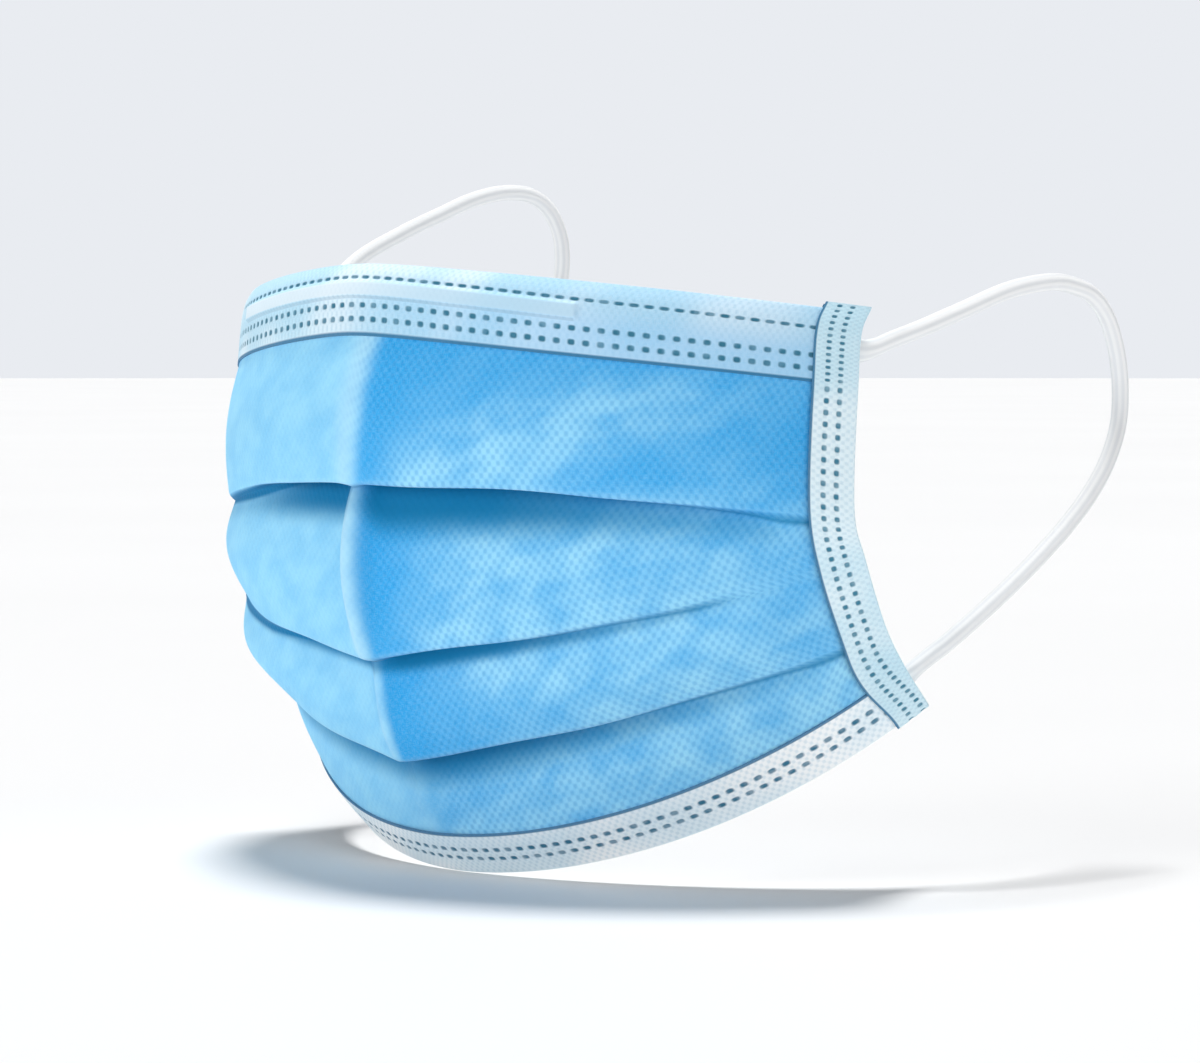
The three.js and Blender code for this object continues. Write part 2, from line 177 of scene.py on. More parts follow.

# Soft patches on the wearer's left where the painted sheen is thinned, so that the deep blue shows. s, z:
# centre on the cloth in mm. long, short: half sizes. slant: degrees that the long way rises. deep: strength.
DEEP_PATCHES = table("s z long short slant deep", {
    "below_the_wire": (36, -18, 22, 6.0, 12, 0.75),
    "above_first_lip": (52, -34, 16, 6.0, 14, 0.75),
    "cheek": (80, -28, 22, 14.0, 20, 0.92),
    "below_the_hem": (62, -17, 22, 4.5, -8, 0.65),
    "under_first_lip": (70, -45, 10, 3.0, -4, 0.25),
    "above_third_lip": (22, -77, 12, 4.5, 14, 0.60),
    "low_cheek": (75, -56, 11, 6.5, 25, 0.40),
    "chin": (14, -91, 24, 5.0, 6, 0.15),
})
LEE_START = 1.3  # how far from the ridge the painted shade beside it is at its deepest, in widths of the crest
LEE_FADE = 0.08  # share of its reach over which that painted shade stays
LEE_CURVE = 1.5  # how fast its reach shrinks from the top of a span
CREST_WIDEST, CREST_SHARE = 3.4, 0.74  # a crest is this share of its pinched fold, counted up to 3.4 mm
CREST_SHIFT = 0.4  # how far it lies to the wearer's right of the ridge, in its own widths
FOLD_STEPS = 10
EDGE_STEPS = 8
CROWDING = 0.7  # how much the lines of a span crowd towards its ends
ROUNDING_PASSES = 3


def smoothstep(x, low, high):
    t = np.clip((x - low) / (high - low), 0, 1)
    return t * t * (3 - 2 * t)


def bell(t):
    return (1 - t * t) ** 2


def flank_shape(s):
    return np.sin(np.pi * np.minimum(1, np.abs(s) / HALF_WIDTH) ** 2)


def fullness(s):
    return np.where(s < 0, 1, LEFT_FULLNESS) * flank_shape(s)


def heading(row, t):
    """Heading of the cloth in radians: it grows evenly from the ridge to the side."""
    return np.radians(RIDGE_HEADING + (row["turn"] - RIDGE_HEADING) * t)


def outward(row, s):
    angle = heading(row, np.abs(s) / HALF_WIDTH)
    return np.stack([np.sign(s) * np.sin(angle), -np.cos(angle), np.zeros_like(s)], axis=-1)


def row_points(row, s):
    """A row: an arc seen from above that keeps the cloth's width, rising as a V mixed with a parabola."""
    t = np.abs(s) / HALF_WIDTH
    rise = row["side_z"] - row["mid_z"]
    plan = math.sqrt(HALF_WIDTH**2 - rise**2)
    start, angle = heading(row, 0), heading(row, t)
    radius = plan / (heading(row, 1) - start)
    tip = row["round"]
    straight = (np.hypot(t, tip) - tip) / (math.hypot(1, tip) - tip)
    x = np.sign(s) * radius * (np.sin(angle) - np.sin(start))
    y = row["mid_y"] + radius * (np.cos(start) - np.cos(angle))
    z = row["mid_z"] + rise * (row["vee"] * straight + (1 - row["vee"]) * t * t)
    z = z - np.where(s < 0, row["droop"] * flank_shape(s), 0)
    crease = row["crease"] * (np.exp(-np.abs(s) / CREASE_WIDTH) - bell(t) / 2)
    push = crease + row["flank"] * fullness(s)
    return np.stack([x, y, z], axis=-1) + outward(row, s) * push[:, None]


class Cloth:
    """The middle surface of the cloth over an array of columns s."""

    def __init__(self, s):
        self.s = s
        self.t = np.minimum(1, np.abs(s) / HALF_WIDTH)
        self.rows = np.stack([row_points(row, s) for row in ROWS.values()])
        self.settle = smoothstep(self.t, SETTLE_FROM, SETTLE_TO)[:, None]

    def row(self, name):
        return self.rows[LEVEL[name]]

    def smooth(self, level):
        """Point of the smooth curve down each column: a centripetal Catmull-Rom curve through the rows,
        carried on straight beyond its two ends."""
        last = len(self.rows) - 1
        segment = int(np.clip(math.floor(level), 0, last - 1))
        w = level - segment
        p1, p2 = self.rows[segment], self.rows[segment + 1]
        p0 = self.rows[segment - 1] if segment > 0 else 2 * p1 - p2
        p3 = self.rows[segment + 2] if segment + 2 <= last else 2 * p2 - p1
        if w < 0 or w > 1:
            near = p1 if w < 0 else p2
            return near + (p2 - p1) * (w if w < 0 else w - 1)
        d0, d1, d2 = (np.sqrt(np.linalg.norm(b - a, axis=-1, keepdims=True)) for a, b in
                      ((p0, p1), (p1, p2), (p2, p3)))
        m1 = ((p1 - p0) / d0 - (p2 - p0) / (d0 + d1) + (p2 - p1) / d1) * d1
        m2 = ((p2 - p1) / d1 - (p3 - p1) / (d1 + d2) + (p3 - p2) / d2) * d1
        a = 2 * p1 - 2 * p2 + m1 + m2
        b = -3 * p1 + 3 * p2 - 2 * m1 - m2
        return p1 + m1 * w + b * w**2 + a * w**3

    def smooth_lines(self, levels):
        return np.stack([self.smooth(level) for level in levels])

    def pleat_depth(self, lip):
        pleat = PLEATS[lip]
        prow = 1 - pleat["prow"] * np.exp(-((self.s / PROW_WIDTH) ** 2))
        closed = np.minimum(1, np.abs(self.s) / np.where(self.s < 0, pleat["closing"], HALF_WIDTH))
        depth = pleat["side"] + (pleat["open"] - pleat["side"]) * bell(closed) * prow
        return depth * (1 - smoothstep(np.abs(self.s), PLEAT_FADE_FROM, PLEAT_FADE_TO))

    def root(self, lip):
        """The root of a pleat: behind its lip by the pleat's depth, and lifted where the fold is deep.
        Near the tapes it runs into the smooth curve, but for the small step that stays visible."""
        depth = self.pleat_depth(lip)
        out = outward(ROWS[lip], self.s)
        lift = np.clip(UNDERCUT_SHALLOW + UNDERCUT_SLOPE * (depth - 1), UNDERCUT_SHALLOW, UNDERCUT_DEEP)
        point = self.row(lip) - out * depth[:, None]
        point[:, 2] += lift
        point = point + (self.smooth(LEVEL[lip] + ROOT_LEVEL) - point) * self.settle
        return point - out * (PLEATS[lip]["crack"] * self.settle)

    def span(self, upper, upper_level, lower_name):
        """The lines from an upper line down to a row: straight between them plus one sine arc."""
        span = SPANS[lower_name]
        row, lower = ROWS[lower_name], self.row(lower_name)
        out = outward(row, self.s)
        ridge = span["pinch"] * np.exp(-((self.s / span["width"]) ** 2))
        even = np.linspace(0, 1, span["steps"] + 1)[1:]
        lines = []
        for tau in (1 - CROWDING) * even + CROWDING * (1 - np.cos(np.pi * even)) / 2:
            arc = np.sin(np.pi * tau ** span["sag"])
            bulge = span["bulge"] * (1 - self.t**2) + span["flank"] * fullness(self.s)
            push = arc * bulge + max(0, math.sin(np.pi * tau)) ** 0.5 * ridge
            point = upper + (lower - upper) * tau + out * push[:, None]
            level = upper_level + (LEVEL[lower_name] - upper_level) * tau
            fading_step = (upper - self.smooth(upper_level)) * (1 - tau) ** 2
            target = self.smooth(level) + fading_step
            lines.append(point + (target - point) * self.settle)
        return lines


# Slow swells of soft cloth: height in mm, mm across for a radian, radians down the cloth, phase.
SWELLS = ((0.22, 9.5, 5, 0), (0.16, 5.3, -9, 1), (0.12, 14, 17, 2))


def waves(s, lines):
    """The swells in mm along the normal: crossed sines that die at the edges."""
    down = np.linspace(0, 1, lines)[:, None]
    swell = sum(height * np.sin(s / length + turns * down + phase) for height, length, turns, phase in SWELLS)
    return swell * np.sin(np.pi * down) ** 0.5 * (1 - (s / HALF_WIDTH) ** 4)


def unit(vectors):
    return vectors / np.linalg.norm(vectors, axis=-1, keepdims=True)


def lengths_run(points, axis):
    """Length run along an axis of a grid of points, from 0 at its first point."""
    run = np.cumsum(np.linalg.norm(np.diff(points, axis=axis), axis=-1), axis=axis)
    return np.concatenate([np.zeros_like(run.take([0], axis=axis)), run], axis=axis)


def normals(grid):
    """Unit normals to the front: the way down the grid crossed with the way along it."""
    return unit(np.cross(np.gradient(grid, axis=0), np.gradient(grid, axis=1)))


def deep_tone(points, s):
    """Depth of tone, 0 to 1, at each point of a line, by which the patches thin the painted sheen: the
    patches laid over each other, each a Gauss bell over its turned and scaled distance."""
    bare = np.ones(len(s))
    for patch in DEEP_PATCHES.values():
        slant = math.radians(patch["slant"])
        across, up = s - patch["s"], points[:, 2] - patch["z"]
        along = (across * math.cos(slant) + up * math.sin(slant)) / patch["long"]
        beside = (up * math.cos(slant) - across * math.sin(slant)) / patch["short"]
        bare = bare * (1 - patch["deep"] * np.exp(-(along**2) - beside**2))
    return 1 - bare


# ------------------------ meshes


def wall_faces(rows, columns):
    """Quads of a closed wall: a front grid, a back grid behind it and the four borders between them.
    Returns the vertex numbers and, for each corner, its row and column and whether it is at the front."""
    r, c = np.meshgrid(np.arange(rows - 1), np.arange(columns - 1), indexing="ij")
    r, c = r.ravel(), c.ravel()
    corners = np.stack([[r, c], [r + 1, c], [r + 1, c + 1], [r, c + 1]]).transpose(2, 0, 1)
    front = np.concatenate([corners, np.zeros((len(corners), 4, 1), int)], axis=2)
    back = front[:, ::-1].copy()
    back[:, :, 2] = 1

    def border(row, column, step):
        start = np.stack(np.broadcast_arrays(row, column), axis=1)
        side = np.stack([start + step, start, start, start + step], axis=1)
        layer = np.broadcast_to([[0], [0], [1], [1]], (len(side), 4, 1))
        return np.concatenate([side, layer], axis=2)

    down, across = np.arange(rows - 1), np.arange(columns - 1)
    borders = [
        border(down, 0, (1, 0)),
        border(down + 1, columns - 1, (-1, 0)),
        border(rows - 1, across, (0, 1)),
        border(0, across + 1, (0, -1)),
    ]
    return front, back, np.concatenate(borders)


def add_mesh(name, points, faces, uvs, material_index, materials):
    """A smooth-shaded mesh object at the origin. points are in mm, uvs one pair for each face corner."""
    mesh = bpy.data.meshes.new(name)
    mesh.from_pydata(points * MM, [], faces.tolist())
    layer = mesh.uv_layers.new(name="cloth")
    layer.data.foreach_set("uv", np.ascontiguousarray(uvs, dtype=np.float32).ravel())
    for material in materials:
        mesh.materials.append(material)
    mesh.polygons.foreach_set("material_index", material_index.astype(np.int32))
    mesh.polygons.foreach_set("use_smooth", np.ones(len(faces), dtype=bool))
    mesh.update()
    mesh.set_sharp_from_angle(angle=math.radians(55))
    piece = bpy.data.objects.new(name, mesh)
    bpy.context.collection.objects.link(piece)
    return piece


def add_wall(name, front, back, u, v_top, v_bottom, materials):
    """The wall between two grids. u is given for each point, v for each face row at its top and bottom
    line, so that a pattern may start afresh at a fold. The back takes the last material."""
    rows, columns = front.shape[:2]
    points = np.concatenate([front.reshape(-1, 3), back.reshape(-1, 3)])
    groups = wall_faces(rows, columns)
    corners = np.concatenate(groups)
    row, column, layer = corners[:, :, 0], corners[:, :, 1], corners[:, :, 2]
    faces = row * columns + column + layer * rows * columns
    top_row = np.minimum(row.min(axis=1), rows - 2)[:, None]
    is_top = row == top_row
    v = np.where(is_top, v_top[top_row, column], v_bottom[top_row, column])
    uvs = np.stack([u[row, column], v], axis=-1)
    index = np.zeros(len(faces), dtype=int)
    index[len(groups[0]):len(groups[0]) + len(groups[1])] = len(materials) - 1
    return add_mesh(name, points, faces, uvs.reshape(-1, 2), index, materials)


# ------------------------ material graphs


class Graph:
    """The node tree of a new material or world, with its one shader. Sums are built by small calls that
    return sockets. A value may be a socket, a number or a #rrggbb colour."""

    def __init__(self, name, kind="materials", shader="Principled BSDF"):
        self.block = getattr(bpy.data, kind).new(name)
        self.block.use_nodes = True
        self.nodes, self.links = self.block.node_tree.nodes, self.block.node_tree.links
        self.shader = self.nodes[shader]

    def put(self, socket, value):
        if isinstance(value, bpy.types.NodeSocket):
            self.links.new(value, socket)
        else:
            socket.default_value = linear(value) if isinstance(value, str) else value

    def node(self, kind, **values):
        """A new node, with values at the inputs of those names."""
        node = self.nodes.new("ShaderNode" + kind)
        for name, value in values.items():
            self.put(node.inputs[name], value)
        return node

    def math(self, operation, *values):
        node = self.node("Math")
        node.operation = operation
        for socket, value in zip(node.inputs, values):
            self.put(socket, value)
        return node.outputs[0]

    def times(self, a, b):
        return self.math("MULTIPLY", a, b)

    def plus(self, a, b):
        return self.math("ADD", a, b)

    def minus(self, a, b):
        return self.math("SUBTRACT", a, b)

    def apart(self, a, b):
        return self.math("ABSOLUTE", self.minus(a, b))

    def ramp(self, value, low, high, to_low=0.0, to_high=1.0, interpolation="SMOOTHSTEP"):
        ends = {"From Min": low, "From Max": high, "To Min": to_low, "To Max": to_high}
        node = self.node("MapRange", Value=value, **ends)
        node.interpolation_type = interpolation
        return node.outputs["Result"]

    def cloth_uv(self):
        node = self.node("UVMap")
        node.uv_map = "cloth"
        split = self.node("SeparateXYZ", Vector=node.outputs[0])
        return node.outputs[0], split.outputs[0], split.outputs[1]

    def noise(self, vector, scale, detail=2.0, roughness=0.5):
        return self.node("TexNoise", Vector=vector, Scale=scale, Detail=detail,
                         Roughness=roughness).outputs["Fac"]

    def stretched(self, vector, scale):
        return self.node("Mapping", Vector=vector, Scale=scale).outputs[0]

    def object_coordinates(self):
        return self.node("TexCoord").outputs["Object"]

    def mix(self, share, first, second, blend="MIX"):
        node = self.node("Mix")
        node.data_type = "RGBA"
        node.blend_type = blend
        self.put(node.inputs[0], share)
        self.put(node.inputs[6], first)
        self.put(node.inputs[7], second)
        return node.outputs[2]

    def attribute(self, name):
        node = self.node("Attribute")
        node.attribute_name = name
        return node.outputs["Fac"]

    def bump(self, height, distance, strength=1.0):
        node = self.node("Bump", Distance=distance, Strength=strength, Height=height)
        self.put(self.shader.inputs["Normal"], node.outputs[0])

    def finish(self, colour, roughness, sheen=0.0, metallic=0.0, specular=0.25):
        self.put(self.shader.inputs["Base Color"], colour)
        self.put(self.shader.inputs["Roughness"], roughness)
        self.shader.inputs["Metallic"].default_value = metallic
        self.shader.inputs["Specular IOR Level"].default_value = specular
        self.shader.inputs["Sheen Weight"].default_value = sheen
        self.shader.inputs["Sheen Roughness"].default_value = 0.5
        return self.block


def linear(hex_colour):
    """Linear RGBA of a #rrggbb screen colour."""
    channels = [int(hex_colour[i:i + 2], 16) / 255 for i in (1, 3, 5)]
    return tuple(c / 12.92 if c <= 0.04045 else ((c + 0.055) / 1.055) ** 2.4 for c in channels) + (1.0,)


CLOUD_SLANT = math.radians(-28)
# Painted shadow along each band's edges, where the band stands off the panel.
EDGE_SHADOW_TONE = "#166a94"

# The embossed bond points of the spun cloth: a diamond lattice, in mm.
LATTICE_ACROSS, LATTICE_DOWN = 1.6, 2.0


def bond_points(graph, u, v):
    """1 on a bond point, 0 between: the product of two cosines, which makes soft diamonds."""
    across = graph.math("COSINE", graph.times(u, 2 * math.pi / LATTICE_ACROSS))
    down = graph.math("COSINE", graph.times(v, 2 * math.pi / LATTICE_DOWN))
    return graph.ramp(graph.times(across, down), -0.45, 0.95)


def fibres(graph, uv):
    """Fine spun filaments: two noises, each drawn out in its own direction."""
    first = graph.noise(graph.stretched(uv, (1.2, 6.0, 1.0)), 1.0, 4.0, 0.65)
    second = graph.noise(graph.stretched(uv, (5.0, 1.4, 1.0)), 1.0, 4.0, 0.65)
    return graph.times(graph.plus(first, second), 0.5)


def clouds(graph, length, width, low, high, detail=1.2):
    """Soft slanting patches, about length by width mm, 0 to 1."""
    node = graph.node("Mapping", Vector=graph.object_coordinates(), Rotation=(0, CLOUD_SLANT, 0),
                      Scale=(length * MM, length * MM, width * MM))
    node.vector_type = "TEXTURE"
    return graph.ramp(graph.noise(node.outputs[0], 1.0, detail), low, high)


def blue_cloth():
    """Blue spun cloth: deep blue under a painted sheen, paler on the wearer's right and mottled all over,
    thinned as painted shade beside the ridge and in the deep patches; pale fibres, a darker point at every
    bond, painted shade in the mouths of the pleats, and painted highlights along the lips and the crest."""
    graph = Graph("blue_cloth")
    uv, u, v = graph.cloth_uv()
    bonds = bond_points(graph, u, v)
    strands = fibres(graph, uv)
    mottle = graph.minus(clouds(graph, 8.0, 4.5, 0.25, 0.75, 2.5), 0.5)
    mottle = graph.times(mottle, graph.ramp(u, -8.0, 6.0, 0.25, 0.55))
    # The pale haze is a painted sheen: paler on the wearer's right, which faces the key light, and mottled.
    painted_sheen = graph.plus(graph.ramp(u, -8.0, 6.0, 0.72, 0.64), mottle)
    cover = graph.minus(1.0, graph.attribute("deep"))
    painted_sheen = graph.times(painted_sheen, graph.plus(0.06, graph.times(cover, 0.94)))
    colour = graph.mix(painted_sheen, "#1fa2e6", "#a2e1fb")
    colour = graph.mix(graph.ramp(strands, 0.42, 0.62, 0.0, 0.16), colour, "#b9e3f8")
    # Painted highlights along the lips and the ridge's crest, where the folds catch the light.
    lip = graph.ramp(graph.attribute("lip"), 0.1, 0.9, 0.0, 0.3)
    painted_highlight = graph.math("MAXIMUM", graph.attribute("crest"), lip)
    colour = graph.mix(graph.times(painted_highlight, 0.8), colour, "#b4e1f7")
    contrast = graph.ramp(u, 1.0, 9.0, 0.05, 0.34)
    colour = graph.mix(graph.times(bonds, contrast), colour, "#1583cc")
    # Painted shade in the mouths of the pleats and along the lines of closed pleats.
    colour = graph.mix(graph.ramp(graph.attribute("painted_mouth_shade"), 0.0, 0.95), colour, "#0074a6")
    relief = graph.minus(graph.times(strands, 0.6), bonds)
    graph.bump(relief, 0.10 * MM, 0.4)
    return graph.finish(colour, 0.7, 0.04, specular=0.12)


def inner_cloth():
    """The soft white inner cloth that lies against the face."""
    graph = Graph("white_inner_cloth")
    uv, u, v = graph.cloth_uv()
    bonds = bond_points(graph, u, v)
    strands = fibres(graph, uv)
    colour = graph.mix(clouds(graph, 60, 24, 0.36, 0.64), "#d8e0e6", "#e6ecf0")
    colour = graph.mix(graph.times(bonds, 0.25), colour, "#b4c6d2")
    height = graph.minus(graph.times(strands, 0.6), bonds)
    graph.bump(height, 0.12 * MM, 0.5)
    return graph.finish(colour, 0.72, 0.2)


# Rows of heat welds on each band: distance of the row's middle from the band's first edge, half height
# and half length of a weld, in mm.
WELD_PITCH = 2.45
TOP_WELDS = ((4.1, 0.34, 0.78), (8.5, 0.36, 0.60), (10.3, 0.36, 0.60))
BOTTOM_WELDS = ((3.6, 0.46, 0.66), (5.75, 0.46, 0.66))
TAPE_WELDS = ((2.5, 0.44, 0.46), (4.7, 0.44, 0.46))
WELD_EDGE = 0.35  # share of a weld's half size over which its edge fades
WELD_DEPTH = 0.14


def weld_depth(welds, x, count, pitch):
    """How deep the cloth is pressed, 0 to 1, at x mm across a band and count pitches along it: each
    weld is a rounded oblong, where the sum of the cubes of its two scaled distances stays under 1."""
    depth = np.zeros_like(x)
    place = np.abs(count % 1 - 0.5) * pitch
    for middle, half, length in welds:
        away = np.cbrt((np.abs(x - middle) / half) ** 3 + (place / length) ** 3)
        depth = np.maximum(depth, 1 - smoothstep(away, 1 - WELD_EDGE, 1 + WELD_EDGE))
    return depth


def weld_mask(graph, welds, x, count, pitch):
    """The same pattern as weld_depth, as nodes."""
    mask = 0.0
    place = graph.apart(graph.math("FRACT", count), 0.5)
    for middle, half, length in welds:
        off = graph.apart(x, middle)
        across = graph.math("POWER", graph.math("DIVIDE", off, half), 3.0)
        along = graph.math("POWER", graph.times(place, pitch / length), 3.0)
        away = graph.math("POWER", graph.plus(across, along), 1 / 3)
        spot = graph.ramp(away, 1 - WELD_EDGE, 1 + WELD_EDGE, 1.0, 0.0)
        mask = graph.math("MAXIMUM", mask, spot)
    return mask


def band_cloth(name, welds, pitch, weld_colour, edges, tone, strip=None):
    """Pale band: white cloth over blue, with faint bond points, coloured welds and painted shadow lines
    along its edges. Its uv is mm across the band and pitches along it. edges are (place, half width) of
    painted shadow lines.
    strip is (from, to, half length) in mm of the stretch over the nose wire, drawn smooth, with a painted
    highlight along it and a painted shadow under its lower edge."""
    graph = Graph(name)
    _, x, count = graph.cloth_uv()
    along = graph.times(count, pitch)
    bonds = bond_points(graph, graph.times(along, 1.25), graph.times(x, 1.25))
    metric = graph.node("CombineXYZ", X=along, Y=x).outputs[0]
    strands = fibres(graph, metric)
    colour = graph.mix(clouds(graph, 24, 14, 0.38, 0.64), *tone)
    colour = graph.mix(graph.times(bonds, 0.28), colour, "#84b4cc")
    colour = graph.mix(graph.ramp(strands, 0.42, 0.62, 0.0, 0.2), colour, "#ffffff")
    height = graph.minus(graph.times(strands, 0.6), graph.times(bonds, 0.5))
    roughness = 0.68
    if strip:
        blue = graph.times(graph.ramp(along, -20.0, 50.0, 0.0, 0.62), graph.ramp(x, 4.0, 9.0, 0.4, 1.0))
        colour = graph.mix(blue, colour, "#8fc5ec")
        middle, half = (strip[0] + strip[1]) / 2, (strip[1] - strip[0]) / 2
        off = graph.apart(x, middle)
        reach = graph.apart(along, pitch / 2)
        inside = graph.ramp(reach, strip[2] - 0.2, strip[2] + 0.1, 1.0, 0.0)
        smooth = graph.times(graph.ramp(off, half - 0.15, half + 0.1, 1.0, 0.0), inside)
        # Painted highlight along the wire's rise, whitest on the wearer's right.
        pale = graph.mix(graph.ramp(along, -12.0, 30.0), "#e2eef5", "#b9d8ea")
        colour = graph.mix(graph.times(smooth, 0.75), colour, pale)
        # Painted shadow under the wire's lower edge.
        wire_shadow = graph.apart(x, strip[1] + 0.3)
        wire_shadow = graph.times(graph.ramp(wire_shadow, 0.12, 0.3, 0.4, 0.0), inside)
        colour = graph.mix(wire_shadow, colour, "#8ba6b8")
        height = graph.times(height, graph.minus(1.0, smooth))
        roughness = graph.minus(roughness, graph.times(smooth, 0.2))
    weld = weld_mask(graph, welds, x, count, pitch)
    spotty = graph.noise(metric, 0.45)
    weld = graph.times(weld, graph.ramp(spotty, 0.3, 0.6, 0.75, 1.0))
    colour = graph.mix(weld, colour, weld_colour)
    # Painted shadow lines along the band's edges.
    for place, half in edges:
        off = graph.apart(x, place)
        colour = graph.mix(graph.ramp(off, half * 0.5, half, 0.9, 0.0), colour, EDGE_SHADOW_TONE)
    graph.bump(height, 0.10 * MM, 0.4)
    return graph.finish(colour, roughness, 0.05, specular=0.18)


def elastic_material():
    """White knitted elastic: fine ribs along the cord and small stitches round it, with painted shade in the
    grooves between the ribs.
    """
    graph = Graph("knitted_elastic")
    _, along, turn = graph.cloth_uv()
    rib = graph.math("SINE", graph.times(turn, 2 * math.pi * CORD_RIBS))
    stitch = graph.math("SINE", graph.times(along, 2 * math.pi / CORD_STITCH))
    height = graph.plus(graph.times(rib, 0.5), graph.times(stitch, 0.35))
    graph.bump(height, 0.02 * MM, 0.25)
    # Painted shade: the grooves between the ribs are a little darker.
    return graph.finish(graph.mix(graph.ramp(rib, -1.0, 1.0), "#e3e5e7", "#eff0f0"), 0.7, 0.1)


def wire_material():
    graph = Graph("nose_wire_metal")
    grain = graph.noise(graph.stretched(graph.object_coordinates(), (40.0, 400.0, 900.0)), 1.0, 3.0)
    graph.bump(grain, 0.02 * MM, 0.4)
    return graph.finish(graph.mix(grain, "#b9bcc0", "#d8dadd"), 0.42, metallic=1.0, specular=0.5)


# ------------------------ the pieces

# Offsets from the middle surface, mm.
PANEL_SKIN = 0.25
BAND_INNER, BAND_OUTER, BAND_BACK = 0.28, 0.62, -0.35
TAPE_INNER, TAPE_OUTER, TAPE_BACK = 0.66, 0.98, -0.70
WIRE_LIFT = 0.5
WIRE_FROM, WIRE_TO = 5.1, 7.1  # mm below the top edge
WIRE_HALF = 42.0
WIRE_STEP = 0.55  # mm over which the band comes down beside the wire
WIRE_BACK = 0.3  # mm from the middle surface to the wire
WIRE_EDGE, WIRE_CROWN = 0.08, 0.36  # its thickness at its long edges, and how much is added between
NOSE_STRIP_WIDTH, TOP_BAND_WIDTH, BOTTOM_BAND_WIDTH = 3.3, 12.0, 9.2
TAPE_WIDTH, TAPE_TAPER, TAPE_ROUND = 8.0, 2.0, 0.6
TAPE_LEVELS, TAPER_LEVELS = (-0.12, 7.06), (5.2, 7.0)
TAPE_LINES, TAPE_COLUMNS = 300, 38
FOLD_REACH, INNER_REACH = 0.45, 0.15  # mm that a folded edge bulges sideways, outside and inside
ROUND_LINES = 9
PANEL_END = 87.4
BAND_END = 84.0
BAND_COLUMNS = 565
BAND_LEG = (1.0, 0.5)  # mm that a band's lines behind the cloth lie in from its fold
HEM_FROM = 0.87  # share of a band's width from which its welds follow its hem
PANEL_FROM, PANEL_TO = 0.5, 6.86
TOP_FOLD = 0.9  # mm from the top line at which the thin band is folded
TOP_HUMP, HUMP_REACH = 0.4, 40.0  # mm the top welds rise at the ridge, and mm along it until they don't
PANEL_COLUMNS = 275
RIDGE_CROWDING = 0.35  # how much closer the columns stand at the ridge
CRACK_REACH = 0.75  # mm of painted shade beside a closed pleat
CRACK_SHADE = 0.62
CRACK_WIDENING = 0.9  # how much wider that is on the wearer's right, where it is also twice as dark
CRACK_END = 12  # mm over which its line is lost on the wearer's left
RIGHT_BLEND = 8  # mm from the ridge to the full look of the wearer's right
RIGHT_TURN = (-2, 4)  # mm to the right of the ridge between which the shade's reach changes
RIGHT_OPENNESS = 0.7  # power that keeps the painted shade in the mouths dark there as the pleats close
MOUTH_LEAST = 0.25  # how far down a nearly closed pleat's shade reaches, as a share of an open one's
LIP_REACH = 0.7  # mm of painted highlight along a lip, where its rounded fold catches the light
LIP_DEPTH = 3  # mm of pleat at which that painted highlight is at its full strength
